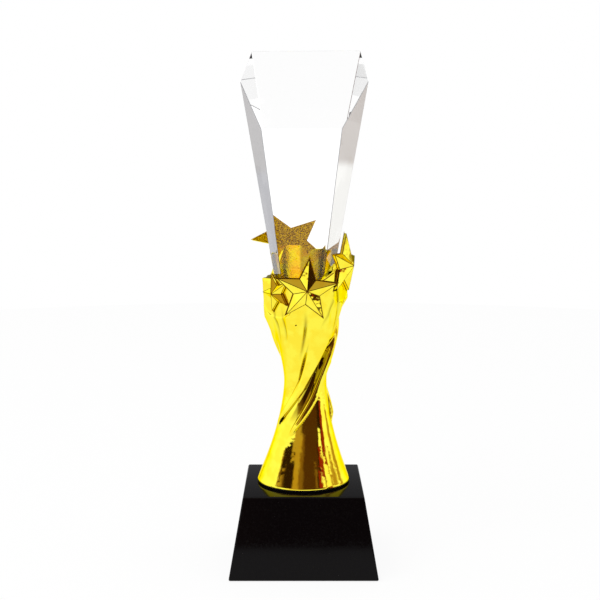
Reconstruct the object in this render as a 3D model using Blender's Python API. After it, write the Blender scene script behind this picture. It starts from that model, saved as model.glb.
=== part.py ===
"""A star trophy: a black base, a twisted gold body with stars round its rim, and a clear crystal.

Lengths are in metres and +Z is up. The front faces -Y, and the origin is on the floor under
the middle of the base.
"""

import math
from typing import NamedTuple

import bmesh
import bpy
from mathutils import Matrix, Vector

MM = 0.001

# Clearance between pieces that rest on, or fit into, one another
FIT_GAP = 0.3 * MM

# Base: a moulded shell over a core, closed by a cover that stands on a pad
BASE_WIDTH = 100.0 * MM
BASE_TOP_WIDTH = 81.0 * MM
BASE_HEIGHT = 54.6 * MM
BASE_EDGE_RADIUS = 1.2 * MM
BASE_EDGE_SEGMENTS = 3
SHELL_WALL = 3.0 * MM
SHELL_CEILING = 4.0 * MM
SKIRT_CLEARANCE = 0.8 * MM
COVER_THICKNESS = 3.0 * MM
BALLAST_WIDTH = 64.0 * MM
BALLAST_THICKNESS = 12.0 * MM
BASE_PAD_WIDTH = 68.0 * MM
BASE_PAD_THICKNESS = 2.0 * MM

# Cover screws, driven up into the core
SCREW_INSET = 7.7 * MM
SCREW_SHANK_RADIUS = 1.75 * MM
SCREW_HEAD_RADIUS = 3.4 * MM
SCREW_HEAD_HEIGHT = 2.0 * MM
SCREW_LENGTH = 16.0 * MM
SCREW_STEPS = 16

# Tie rod with its nut and washers, which pulls the body down on the base
ROD_RADIUS = 4.0 * MM
ROD_TAIL = 2.0 * MM
ROD_CHAMFER = 0.6 * MM
NUT_SIDES = 6
NUT_ACROSS_FLATS = 13.0 * MM
NUT_HEIGHT = 6.5 * MM
LOCK_WASHER_RADIUS = 7.4 * MM
LOCK_WASHER_THICKNESS = 2.0 * MM
LOCK_WASHER_SPLIT = math.radians(14.0)
FLAT_WASHER_RADIUS = 12.0 * MM
FLAT_WASHER_THICKNESS = 1.6 * MM
NUT_POCKET_DEPTH = 16.0 * MM
NUT_POCKET_MARGIN = 1.0 * MM
INSERT_RADIUS = 6.5 * MM
INSERT_LENGTH = 30.0 * MM
INSERT_SPARE = 1.5 * MM

# Gasket between the base and the foot of the body
GASKET_THICKNESS = 0.8 * MM
GASKET_INSET = 1.5 * MM
GASKET_WIDTH = 9.0 * MM

# Crystal: a six-sided column that widens upwards, cut on a slope that rises to the back.
# Its section is given in shares of its half width, which grows with the height.
CRYSTAL_SIDES = 6
CRYSTAL_FOOT_HALF_WIDTH = 16.4 * MM
CRYSTAL_FLARE = 0.176
CRYSTAL_FRONT_SHARE = 0.7
CRYSTAL_BACK_SHARE = 0.8
CRYSTAL_DEPTH_SHARE = 0.72
CRYSTAL_WIDEST_SHARE = 0.2
CRYSTAL_HEIGHT = 179.0 * MM
CRYSTAL_CUT_SLOPE = 0.92
CRYSTAL_TURN = math.radians(-3.0)
CRYSTAL_SPARE = 10.0 * MM

# Body: a flared foot, a waist that sways aside and a cup whose rim follows the stars
BODY_HEIGHT = 148.5 * MM
BODY_FOOT_RADIUS = 32.2 * MM
BODY_FOOT_EDGE = 1.2 * MM
BODY_WAIST_RADIUS = 14.8 * MM
BODY_WAIST_AT = 0.475
BODY_FOOT_CURVE = 1.7
BODY_CUP_CURVE = 0.85
BODY_SWAY = 1.2 * MM
RIM_WALL = 2.8 * MM
RIM_EDGE = 1.0 * MM
RIM_FOLLOW_POWER = 3
RIM_LOW = 142.0 * MM
RIM_BUMP_SPAN = math.radians(45.0)
CUP_DEPTH = 31.5 * MM
CUP_CLEARANCE = 1.15 * MM
PAD_THICKNESS = 1.4 * MM
COLLAR_HEIGHT = 12.0 * MM

# Ribbons that wind up the body and end under the stars
TWIST = math.radians(165.0)
TWIST_START = 0.05
TWIST_END = 0.95
RIBBON_TAPER = 0.2
RIBBON_CURL = math.radians(12.0)
RIBBON_RISE_RATE = 3.0
RIBBON_CROWN_POWER = 4

# Stars, each held by a peg on a flat tab of the body
STAR_POINTS = 5
STAR_NOTCH = 0.43
STAR_EDGE = 1.6 * MM
STAR_FLAT_MARGIN = 3.5 * MM
STAR_FLAT_FADE = 1.5
STAR_FLAT_REACH = math.radians(60.0)
TAB_HALF_WIDTH = 14.5 * MM
TAB_SIDE_FADE = 1.5
TAB_LOWER_FADE = 0.6
PEG_RADIUS = 2.0 * MM
PEG_LENGTH = 1.8 * MM
PEG_DROP = 0.25

# Mesh fineness
ROUND_STEPS = 32
BODY_STEPS = 108
SKIN_ROWS = 40
CUP_ROWS = 3
SMOOTH_ANGLE = math.radians(35.0)
WELD_DISTANCE = 0.0001 * MM


class Star(NamedTuple):
    """A star on its tab.

    Its direction from the axis, height over the body's foot, radius and roll, the height of the rim
    over its middle, how far it leans outwards, how far its tab stands out of the cup's wall and goes
    down below its middle, and how far its middle rises over its edge.
    """

    name: str
    angle: float
    rise: float
    radius: float
    roll: float
    rim_over: float
    lean: float = math.radians(2.0)
    stand_off: float = 0.6 * MM
    tab_drop: float = 17.0 * MM
    crown: float = 4.2 * MM


class Ribbon(NamedTuple):
    """A ribbon: direction at the rim, half width, share of the body's height at the tip, and relief."""

    lane: float
    half_width: float
    tip: float
    relief: float


RIBBONS = [
    Ribbon(math.radians(-156.0), math.radians(18.0), 0.3, 2.6 * MM),
    Ribbon(math.radians(-82.0), math.radians(9.0), 0.44, 1.6 * MM),
    Ribbon(math.radians(-33.0), math.radians(21.0), 0.24, 2.6 * MM),
    Ribbon(math.radians(33.0), math.radians(15.0), 0.22, 2.6 * MM),
    Ribbon(math.radians(88.0), math.radians(18.0), 0.2, 2.6 * MM),
    Ribbon(math.radians(142.0), math.radians(20.0), 0.26, 2.6 * MM),
]

STARS = [
    Star("star_left", math.radians(-136.0), 132.5 * MM, 13.0 * MM, math.radians(18.0), 9.0 * MM),
    Star("star_front", math.radians(-87.0), 135.5 * MM, 20.5 * MM, math.radians(-5.0), 6.0 * MM),
    Star("star_right", math.radians(-22.0), 151.0 * MM, 21.5 * MM, math.radians(-4.5), 3.0 * MM,
         tab_drop=24.0 * MM, crown=7.0 * MM),
    Star("star_back_right", math.radians(66.0), 153.0 * MM, 12.0 * MM, math.radians(20.0), 10.0 * MM),
    Star("star_back", math.radians(102.5), 168.5 * MM, 28.5 * MM, math.radians(-25.0), -2.5 * MM,
         lean=math.radians(33.0), stand_off=11.0 * MM),
]

# Heights of the stack, from the floor up
COVER_BOTTOM = BASE_PAD_THICKNESS + FIT_GAP
COVER_TOP = COVER_BOTTOM + COVER_THICKNESS
CORE_BOTTOM = COVER_TOP + FIT_GAP
BASE_TOP = SKIRT_CLEARANCE + BASE_HEIGHT
CORE_TOP = BASE_TOP - SHELL_CEILING - FIT_GAP
POCKET_TOP = CORE_BOTTOM + NUT_POCKET_DEPTH
GASKET_BOTTOM = BASE_TOP + FIT_GAP
BODY_BOTTOM = GASKET_BOTTOM + GASKET_THICKNESS + FIT_GAP
RIM_MIDDLE = BODY_BOTTOM + BODY_HEIGHT
CUP_FLOOR = RIM_MIDDLE - CUP_DEPTH
PAD_BOTTOM = CUP_FLOOR + FIT_GAP
CRYSTAL_BOTTOM = PAD_BOTTOM + PAD_THICKNESS + FIT_GAP
INSERT_BOTTOM = BODY_BOTTOM + FIT_GAP
INSERT_TOP = INSERT_BOTTOM + INSERT_LENGTH

# Radii that follow from the sizes above
ROD_HOLE_RADIUS = ROD_RADIUS + FIT_GAP
NUT_POCKET_RADIUS = FLAT_WASHER_RADIUS + NUT_POCKET_MARGIN
BORE_RADIUS = INSERT_RADIUS + FIT_GAP


def crystal_half_width(height):
    """Distance from the axis to the crystal's side edges at this height."""
    return CRYSTAL_FOOT_HALF_WIDTH + CRYSTAL_FLARE * (height - CRYSTAL_BOTTOM)


def cup_radius(height):
    """Radius of the inside of the cup at this height, clear of the crystal's corners."""
    corner = math.hypot(max(CRYSTAL_FRONT_SHARE, CRYSTAL_BACK_SHARE), CRYSTAL_DEPTH_SHARE)
    return corner * crystal_half_width(height) + CUP_CLEARANCE


RIM_RADIUS = cup_radius(RIM_MIDDLE) + RIM_WALL


def smooth_step(value):
    """Eased ramp from 0 to 1, held at its ends."""
    held = min(max(value, 0.0), 1.0)
    return held * held * (3.0 - 2.0 * held)


def clear_scene():
    """Removes every object of the startup scene."""
    for found in list(bpy.data.objects):
        bpy.data.objects.remove(found, do_unlink=True)


def make_material(name, color, roughness, metallic=0.0, transmission=0.0):
    """A plain Principled material."""
    material = bpy.data.materials.new(name)
    material.use_nodes = True
    shader = material.node_tree.nodes["Principled BSDF"]
    shader.inputs["Base Color"].default_value = (*color, 1.0)
    shader.inputs["Roughness"].default_value = roughness
    shader.inputs["Metallic"].default_value = metallic
    shader.inputs["Transmission Weight"].default_value = transmission
    return material


def add_object(name, mesh_data, material=None, smooth=False):
    """Turns a bmesh into a named object with outward faces."""
    bmesh.ops.remove_doubles(mesh_data, verts=mesh_data.verts, dist=WELD_DISTANCE)
    bmesh.ops.recalc_face_normals(mesh_data, faces=mesh_data.faces)
    mesh = bpy.data.meshes.new(name)
    mesh_data.to_mesh(mesh)
    mesh_data.free()
    if smooth:
        mesh.shade_smooth()
        mesh.set_sharp_from_angle(angle=SMOOTH_ANGLE)
    if material:
        mesh.materials.append(material)
    made = bpy.data.objects.new(name, mesh)
    bpy.context.scene.collection.objects.link(made)
    return made


def as_cutter(made):
    """Keeps an object for Boolean use only."""
    made.hide_render = True
    made.display_type = "WIRE"
    return made


def cut(target, cutter):
    """Takes the cutter's volume out of the target."""
    modifier = target.modifiers.new(f"cut_{cutter.name}", "BOOLEAN")
    modifier.operation = "DIFFERENCE"
    modifier.solver = "EXACT"
    modifier.object = cutter


def turned(profile, steps=ROUND_STEPS, sweep=math.tau):
    """Turns a closed profile of (radius, height) points about the Z axis."""
    mesh_data = bmesh.new()
    points = [mesh_data.verts.new((radius, 0.0, height)) for radius, height in profile]
    edges = [
        mesh_data.edges.new((first, second))
        for first, second in zip(points, points[1:] + points[:1])
    ]
    whole = sweep >= math.tau
    swept = bmesh.ops.spin(
        mesh_data, geom=points + edges, axis=(0, 0, 1), cent=(0, 0, 0),
        angle=sweep, steps=steps, use_merge=whole,
    )
    if not whole:
        last = [part for part in swept["geom_last"] if isinstance(part, bmesh.types.BMEdge)]
        bmesh.ops.contextual_create(mesh_data, geom=edges)
        bmesh.ops.contextual_create(mesh_data, geom=last)
    return mesh_data


def ring(inner, outer, bottom, top, sweep=math.tau):
    """A flat ring between two radii and two heights."""
    return turned([(inner, bottom), (outer, bottom), (outer, top), (inner, top)], sweep=sweep)


def column(radius_bottom, radius_top, bottom, top, sides=ROUND_STEPS):
    """A straight or tapered column on the Z axis, with a corner at the back."""
    mesh_data = bmesh.new()
    middle = Matrix.Translation((0.0, 0.0, (bottom + top) / 2.0))
    bmesh.ops.create_cone(
        mesh_data, cap_ends=True, segments=sides, radius1=radius_bottom,
        radius2=radius_top, depth=top - bottom, matrix=middle,
    )
    return mesh_data


def base_half_width(height):
    """Half the width of the base's outside at this height."""
    slope = (BASE_WIDTH - BASE_TOP_WIDTH) / 2.0 / BASE_HEIGHT
    return BASE_WIDTH / 2.0 - slope * (height - SKIRT_CLEARANCE)


def square_block(half_bottom, half_top, bottom, top):
    """A square block whose sides may lean."""
    mesh_data = bmesh.new()
    bmesh.ops.create_cube(mesh_data, size=2.0)
    for point in mesh_data.verts:
        upper = point.co.z > 0.0
        half = half_top if upper else half_bottom
        point.co = (point.co.x * half, point.co.y * half, top if upper else bottom)
    return mesh_data


def base_block(inset, bottom, top):
    """A block that follows the base's sides at an inset."""
    return square_block(base_half_width(bottom) - inset, base_half_width(top) - inset, bottom, top)


def corners(spread):
    """The four places at this distance along X and Y."""
    return [(x * spread, y * spread) for x in (-1, 1) for y in (-1, 1)]


def moved(mesh_data, place):
    """Shifts a bmesh sideways."""
    bmesh.ops.translate(mesh_data, verts=mesh_data.verts, vec=(*place, 0.0))
    return mesh_data


def build_base(gloss, board, steel):
    """The shell, its core, the ballast and the cover."""
    rod_hole = as_cutter(add_object(
        "cutter_rod", column(ROD_HOLE_RADIUS, ROD_HOLE_RADIUS, 0.0, BODY_BOTTOM)))

    shell = add_object("base_shell", base_block(0.0, SKIRT_CLEARANCE, BASE_TOP), gloss, smooth=True)
    bevel = shell.modifiers.new("edge_rounding", "BEVEL")
    bevel.width = BASE_EDGE_RADIUS
    bevel.segments = BASE_EDGE_SEGMENTS
    hollow = base_block(SHELL_WALL, 0.0, BASE_TOP - SHELL_CEILING)
    cut(shell, as_cutter(add_object("cutter_hollow", hollow)))
    cut(shell, rod_hole)

    core = add_object("base_core", base_block(SHELL_WALL + FIT_GAP, CORE_BOTTOM, CORE_TOP), board)
    ballast_half = BALLAST_WIDTH / 2.0
    pocket_half = ballast_half + FIT_GAP
    pocket_top = CORE_BOTTOM + BALLAST_THICKNESS + FIT_GAP
    nut_pocket = as_cutter(add_object(
        "cutter_nut_pocket", column(NUT_POCKET_RADIUS, NUT_POCKET_RADIUS, 0.0, POCKET_TOP)))
    cut(core, as_cutter(add_object(
        "cutter_ballast", square_block(pocket_half, pocket_half, 0.0, pocket_top))))
    cut(core, nut_pocket)
    cut(core, rod_hole)

    ballast_top = CORE_BOTTOM + BALLAST_THICKNESS
    ballast = add_object(
        "ballast_plate", square_block(ballast_half, ballast_half, CORE_BOTTOM, ballast_top), steel)
    cut(ballast, nut_pocket)

    cover = add_object("bottom_cover", base_block(SHELL_WALL + FIT_GAP, COVER_BOTTOM, COVER_TOP), board)
    return core, cover


def screw_profile(gap, below):
    """Side of a cover screw, grown by a gap and carried on below its head."""
    tip = COVER_BOTTOM + SCREW_LENGTH + gap
    shank = SCREW_SHANK_RADIUS + gap
    head = SCREW_HEAD_RADIUS + gap
    return [
        (0.0, COVER_BOTTOM - below), (head, COVER_BOTTOM - below), (head, COVER_BOTTOM),
        (shank, COVER_BOTTOM + SCREW_HEAD_HEIGHT), (shank, tip), (0.0, tip),
    ]


def build_screws_and_pad(core, cover, steel, rubber):
    """The four cover screws with their holes, and the pad that the base stands on."""
    spread = base_half_width(COVER_BOTTOM) - SHELL_WALL - SCREW_INSET
    for number, place in enumerate(corners(spread), 1):
        profile = screw_profile(0.0, FIT_GAP)
        screw = moved(turned(profile, steps=SCREW_STEPS), place)
        add_object(f"cover_screw_{number}", screw, steel, smooth=True)
        hole = moved(turned(screw_profile(FIT_GAP, COVER_BOTTOM), steps=SCREW_STEPS), place)
        hole_cutter = as_cutter(add_object(f"cutter_screw_{number}", hole))
        cut(core, hole_cutter)
        cut(cover, hole_cutter)
    pad_half = BASE_PAD_WIDTH / 2.0
    add_object("base_pad", square_block(pad_half, pad_half, 0.0, BASE_PAD_THICKNESS), rubber)


def build_tie_rod(steel, brass):
    """The rod, its nut and washers under the core, and its insert in the body."""
    washer_top = POCKET_TOP - FIT_GAP
    washer_bottom = washer_top - FLAT_WASHER_THICKNESS
    add_object(
        "flat_washer", ring(ROD_HOLE_RADIUS, FLAT_WASHER_RADIUS, washer_bottom, washer_top),
        steel, smooth=True)

    lock_top = washer_bottom - FIT_GAP
    lock_bottom = lock_top - LOCK_WASHER_THICKNESS
    lock_sweep = math.tau - LOCK_WASHER_SPLIT
    add_object(
        "lock_washer", ring(ROD_HOLE_RADIUS, LOCK_WASHER_RADIUS, lock_bottom, lock_top, lock_sweep),
        steel, smooth=True)

    nut_top = lock_bottom - FIT_GAP
    nut_bottom = nut_top - NUT_HEIGHT
    nut_radius = NUT_ACROSS_FLATS / 2.0 / math.cos(math.pi / NUT_SIDES)
    nut = add_object("hex_nut", column(nut_radius, nut_radius, nut_bottom, nut_top, sides=NUT_SIDES), steel)
    cut(nut, bpy.data.objects["cutter_rod"])

    rod_bottom = nut_bottom - ROD_TAIL
    rod_top = INSERT_TOP - INSERT_SPARE
    rod_neck = ROD_RADIUS - ROD_CHAMFER
    rod_side = [
        (0.0, rod_bottom), (rod_neck, rod_bottom), (ROD_RADIUS, rod_bottom + ROD_CHAMFER),
        (ROD_RADIUS, rod_top - ROD_CHAMFER), (rod_neck, rod_top), (0.0, rod_top),
    ]
    add_object("tie_rod", turned(rod_side), steel, smooth=True)
    add_object(
        "threaded_insert", ring(ROD_HOLE_RADIUS, INSERT_RADIUS, INSERT_BOTTOM, INSERT_TOP),
        brass, smooth=True)


def build_gasket(rubber):
    """The ring that the body's foot stands on."""
    outer = BODY_FOOT_RADIUS - GASKET_INSET
    top = GASKET_BOTTOM + GASKET_THICKNESS
    add_object("foot_gasket", ring(outer - GASKET_WIDTH, outer, GASKET_BOTTOM, top), rubber, smooth=True)


def crystal_corner(number, half_width):
    """A corner of the crystal's section, counted leftwards from the one at the back right."""
    across, along = [
        (CRYSTAL_BACK_SHARE, CRYSTAL_DEPTH_SHARE), (-CRYSTAL_BACK_SHARE, CRYSTAL_DEPTH_SHARE),
        (-1.0, CRYSTAL_WIDEST_SHARE), (-CRYSTAL_FRONT_SHARE, -CRYSTAL_DEPTH_SHARE),
        (CRYSTAL_FRONT_SHARE, -CRYSTAL_DEPTH_SHARE), (1.0, CRYSTAL_WIDEST_SHARE),
    ][number]
    return Vector((across * half_width, along * half_width))


def crystal_blank(gap, bottom, top):
    """The crystal's column before the sloped cut, grown by a gap on every side."""
    mesh_data = column(1.0, 1.0, bottom, top, sides=CRYSTAL_SIDES)
    step = math.tau / CRYSTAL_SIDES
    grown = gap / CRYSTAL_DEPTH_SHARE
    for point in mesh_data.verts:
        from_back = math.atan2(point.co.y, point.co.x) - math.pi / 2.0
        number = round(from_back / step) % CRYSTAL_SIDES
        point.co.xy = crystal_corner(number, crystal_half_width(point.co.z) + grown)
    bmesh.ops.rotate(mesh_data, verts=mesh_data.verts, matrix=Matrix.Rotation(CRYSTAL_TURN, 3, "Z"))
    return mesh_data


def build_crystal(glass, rubber, gold):
    """The crystal, the pad under it and the collar that centres it in the cup."""
    tip = CRYSTAL_BOTTOM + CRYSTAL_HEIGHT
    crystal = crystal_blank(0.0, CRYSTAL_BOTTOM, tip + CRYSTAL_SPARE)
    back = Matrix.Rotation(CRYSTAL_TURN, 3, "Z") @ Vector((0.0, 1.0, 0.0))
    cut_normal = Vector((0.0, 0.0, 1.0)) - CRYSTAL_CUT_SLOPE * back
    bmesh.ops.bisect_plane(
        crystal, geom=crystal.verts[:] + crystal.edges[:] + crystal.faces[:],
        plane_co=back * CRYSTAL_DEPTH_SHARE * crystal_half_width(tip) + Vector((0.0, 0.0, tip)),
        plane_no=cut_normal, clear_outer=True,
    )
    bmesh.ops.holes_fill(crystal, edges=crystal.edges, sides=0)
    add_object("crystal_column", crystal, glass)

    pad_top = PAD_BOTTOM + PAD_THICKNESS
    add_object("crystal_pad", crystal_blank(0.0, PAD_BOTTOM, pad_top), rubber)

    collar_top = CRYSTAL_BOTTOM + COLLAR_HEIGHT
    collar = add_object(
        "crystal_collar",
        column(cup_radius(CRYSTAL_BOTTOM) - FIT_GAP, cup_radius(collar_top) - FIT_GAP,
               CRYSTAL_BOTTOM, collar_top),
        gold, smooth=True)
    opening = crystal_blank(FIT_GAP, CUP_FLOOR, RIM_MIDDLE)
    cut(collar, as_cutter(add_object("cutter_crystal", opening)))


def angle_between(first, second):
    """Signed angle from the second direction to the first, within half a turn."""
    return (first - second + math.pi) % math.tau - math.pi


def rim_height(angle):
    """Height of the cup's rim in this direction: level, and raised behind the higher stars."""
    raised = 0.0
    for star in STARS:
        near = 1.0 - abs(angle_between(angle, star.angle)) / RIM_BUMP_SPAN
        raised = max(raised, (star.rise + star.rim_over - RIM_LOW) * smooth_step(near))
    return BODY_BOTTOM + RIM_LOW + raised


def rim_flare(angle):
    """How much wider the cup is at its rim in this direction than at its middle height."""
    return cup_radius(rim_height(angle)) - cup_radius(RIM_MIDDLE)


def twist_at(share):
    """How far a ribbon has turned at this share of the height, counted back from the rim."""
    return TWIST * (smooth_step((share - TWIST_START) / (TWIST_END - TWIST_START)) - 1.0)


def plain_radius(share):
    """Radius of the body without ribbons, at a share of its height from foot to rim."""
    if share < BODY_WAIST_AT:
        flare = (1.0 - share / BODY_WAIST_AT) ** BODY_FOOT_CURVE
        return BODY_WAIST_RADIUS + (BODY_FOOT_RADIUS - BODY_WAIST_RADIUS) * flare
    rise = ((share - BODY_WAIST_AT) / (1.0 - BODY_WAIST_AT)) ** BODY_CUP_CURVE
    return BODY_WAIST_RADIUS + (RIM_RADIUS - BODY_WAIST_RADIUS) * smooth_step(rise)


def ribbon_relief(lane, share):
    """Height of the ribbons above the plain body. A lane is a direction with the twist taken out."""
    relief = 0.0
    for ribbon in RIBBONS:
        grown = min(max((share - ribbon.tip) / RIBBON_TAPER, 0.0), 1.0)
        half_width = ribbon.half_width * math.sqrt(grown)
        across = abs(angle_between(lane, ribbon.lane - RIBBON_CURL * (1.0 - grown)))
        if across < half_width:
            crown = 1.0 - (across / half_width) ** RIBBON_CROWN_POWER
            relief = max(relief, ribbon.relief * crown * smooth_step(RIBBON_RISE_RATE * grown))
    return relief


def star_height(star):
    """Height of the middle of a star's back."""
    return BODY_BOTTOM + star.rise


def seat_radius(star):
    """Distance from the axis to the middle of a star's back."""
    return cup_radius(star_height(star)) + RIM_WALL + star.stand_off


def star_frame(star):
    """Matrix from a star's own axes (across, up, outwards) to the trophy."""
    outward = Vector((math.cos(star.angle), math.sin(star.angle), 0.0))
    upright = Vector((0.0, 0.0, 1.0))
    normal = outward * math.cos(star.lean) - upright * math.sin(star.lean)
    up = upright * math.cos(star.lean) + outward * math.sin(star.lean)
    across = up.cross(normal)
    place = outward * seat_radius(star) + upright * star_height(star)
    frame = Matrix((across, up, normal)).transposed().to_4x4()
    return Matrix.Translation(place) @ frame


def peg_place(star):
    """Where the peg stands on a star's back, below its middle so that the rim covers it."""
    return Matrix.Translation((0.0, -PEG_DROP * star.radius, 0.0))


def sway_at(share):
    """How far the body's axis stands to the right at this share of the height."""
    return BODY_SWAY * math.sin(math.pi * share)


def flats_near(angle, height, sway):
    """The stars' flats that face this direction.

    Each comes with its distance from the axis, and the place on it across and above its star's middle.
    """
    found = []
    for star in STARS:
        aside = angle_between(angle, star.angle)
        if abs(aside) < STAR_FLAT_REACH:
            above = height - star_height(star)
            plane = seat_radius(star) - FIT_GAP + above * math.tan(star.lean)
            plane -= sway * math.cos(star.angle)
            found.append((star, plane / math.cos(aside), plane * math.tan(aside), above))
    return found


def tabbed_radius(radius, flats):
    """The radius raised to the tabs that carry the stars."""
    for star, reach, across, above in flats:
        outside = TAB_SIDE_FADE * max(abs(across) - TAB_HALF_WIDTH, 0.0)
        below = TAB_LOWER_FADE * max(-above - star.tab_drop, 0.0)
        radius = max(radius, reach - math.hypot(outside, below))
    return radius


def seated_radius(radius, flats):
    """The radius held back to the flats that the stars sit on."""
    for star, reach, across, above in flats:
        beyond = max(math.hypot(across, above) - star.radius - STAR_FLAT_MARGIN, 0.0)
        radius = min(radius, reach + STAR_FLAT_FADE * beyond)
    return radius


def skin_point(angle, share):
    """A point of the body's outside: the angle is a lane, the share runs from foot to rim."""
    turned_angle = angle + twist_at(share)
    upper = share ** RIM_FOLLOW_POWER
    side = BODY_HEIGHT - BODY_FOOT_EDGE - RIM_EDGE
    height = BODY_BOTTOM + BODY_FOOT_EDGE + share * side
    height += upper * (rim_height(turned_angle) - RIM_MIDDLE)
    radius = plain_radius(share) + upper * rim_flare(turned_angle) + ribbon_relief(angle, share)
    flats = flats_near(turned_angle, height, sway_at(share))
    return seated_radius(tabbed_radius(radius, flats), flats), turned_angle, height


def body_rows():
    """The body's rows from the cup's floor over the rim, down the outside and up the bore."""
    rows = [("cup", index / CUP_ROWS) for index in range(CUP_ROWS + 1)]
    rows += [("rim", 1.0)]
    rows += [("skin", 1.0 - index / SKIN_ROWS) for index in range(SKIN_ROWS + 1)]
    rows += [("under", 0.0), ("bore", 0.0), ("bore", 1.0)]
    return rows


def body_point(kind, share, angle):
    """Radius, direction and height of one point of the body."""
    foot_turn = twist_at(0.0)
    if kind == "cup":
        height = CUP_FLOOR + share * (rim_height(angle) - CUP_FLOOR)
        return cup_radius(height), angle, height
    if kind == "rim":
        radius, _, height = skin_point(angle, 1.0)
        return radius - RIM_EDGE, angle, height + RIM_EDGE
    if kind == "skin":
        return skin_point(angle, share)
    if kind == "under":
        return BODY_FOOT_RADIUS - BODY_FOOT_EDGE, angle + foot_turn, BODY_BOTTOM
    top = INSERT_TOP + FIT_GAP
    return BORE_RADIUS, angle + foot_turn, BODY_BOTTOM + share * (top - BODY_BOTTOM)


def build_body(gold):
    """The twisted body, with its cup, its bore and the holes for the stars' pegs."""
    rows = body_rows()
    mesh_data = bmesh.new()
    points = [mesh_data.verts.new((1.0, 0.0, float(row))) for row in range(len(rows))]
    edges = [mesh_data.edges.new(pair) for pair in zip(points, points[1:])]
    bmesh.ops.spin(
        mesh_data, geom=points + edges, axis=(0, 0, 1), cent=(0, 0, 0),
        angle=math.tau, steps=BODY_STEPS, use_merge=True,
    )
    bmesh.ops.holes_fill(mesh_data, edges=mesh_data.edges, sides=0)
    for point in mesh_data.verts:
        kind, share = rows[round(point.co.z)]
        angle = math.atan2(point.co.y, point.co.x)
        radius, direction, height = body_point(kind, share, angle)
        sway = sway_at(share) if kind == "skin" else 0.0
        point.co = (radius * math.cos(direction) + sway, radius * math.sin(direction), height)
    body = add_object("body_casting", mesh_data, gold, smooth=True)
    for star in STARS:
        hole = column(PEG_RADIUS + FIT_GAP, PEG_RADIUS + FIT_GAP, -PEG_LENGTH - FIT_GAP, star.crown)
        bmesh.ops.transform(hole, verts=hole.verts, matrix=star_frame(star) @ peg_place(star))
        cut(body, as_cutter(add_object(f"cutter_{star.name}", hole)))


def build_star(star, gold):
    """A faceted star with a peg on its back."""
    mesh_data = bmesh.new()
    made = bmesh.ops.create_circle(mesh_data, cap_ends=True, segments=2 * STAR_POINTS, radius=star.radius)
    for index, point in enumerate(made["verts"]):
        if index % 2:
            point.co *= STAR_NOTCH
    front = mesh_data.faces[:]
    raised = bmesh.ops.extrude_face_region(mesh_data, geom=front)
    lifted = [part for part in raised["geom"] if isinstance(part, bmesh.types.BMVert)]
    bmesh.ops.translate(mesh_data, verts=lifted, vec=(0.0, 0.0, STAR_EDGE))
    mesh_data.faces.ensure_lookup_table()
    top = max(mesh_data.faces, key=lambda face: face.calc_center_median().z)
    poked = bmesh.ops.poke(mesh_data, faces=[top])
    for point in poked["verts"]:
        point.co = (0.0, 0.0, STAR_EDGE + star.crown)
    back = min(mesh_data.faces, key=lambda face: face.calc_center_median().z)
    bmesh.ops.rotate(mesh_data, verts=mesh_data.verts, matrix=Matrix.Rotation(star.roll, 3, "Z"))
    peg = bmesh.ops.extrude_discrete_faces(mesh_data, faces=[back])["faces"][0]
    for point in peg.verts:
        point.co = peg_place(star) @ (point.co.normalized() * PEG_RADIUS)
    peg = bmesh.ops.extrude_discrete_faces(mesh_data, faces=[peg])["faces"][0]
    bmesh.ops.translate(mesh_data, verts=peg.verts, vec=(0.0, 0.0, -PEG_LENGTH))
    bmesh.ops.transform(mesh_data, verts=mesh_data.verts, matrix=star_frame(star))
    add_object(star.name, mesh_data, gold)


def main():
    """Builds every piece of the trophy."""
    clear_scene()
    gloss = make_material("black_gloss_plastic", (0.006, 0.005, 0.006), 0.08)
    board = make_material("dark_fibreboard", (0.06, 0.04, 0.03), 0.75)
    steel = make_material("zinc_plated_steel", (0.6, 0.61, 0.62), 0.35, metallic=1.0)
    brass = make_material("brass", (0.75, 0.55, 0.22), 0.3, metallic=1.0)
    rubber = make_material("black_rubber", (0.02, 0.02, 0.02), 0.8)
    gold = make_material("plated_gold", (1.0, 0.68, 0.09), 0.12, metallic=1.0)
    glass = make_material("clear_crystal", (1.0, 1.0, 1.0), 0.0, transmission=1.0)

    core, cover = build_base(gloss, board, steel)
    build_screws_and_pad(core, cover, steel, rubber)
    build_tie_rod(steel, brass)
    build_gasket(rubber)
    build_body(gold)
    for star in STARS:
        build_star(star, gold)
    build_crystal(glass, rubber, gold)


main()
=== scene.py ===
"""Looks of a star trophy: a black gloss base, a twisted gold body ringed with stars, and a clear crystal.

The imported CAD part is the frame. The pieces that meet the eye are rebuilt here at the same sizes with
finer surfaces, and the inner pieces keep their CAD shapes and get their real finishes. Lengths are in
metres and angles in radians, except where a name or a docstring says otherwise.
"""

from __future__ import annotations

import logging
import math
from collections.abc import Callable, Iterable, Sequence
from dataclasses import dataclass
from enum import Enum, IntEnum
from typing import NamedTuple

import bmesh
import bpy
from bmesh.types import BMEdge, BMesh, BMFace, BMVert
from bpy.types import Material, Node, NodeSocket, NodeTree, Object
from mathutils import Matrix, Vector

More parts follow.
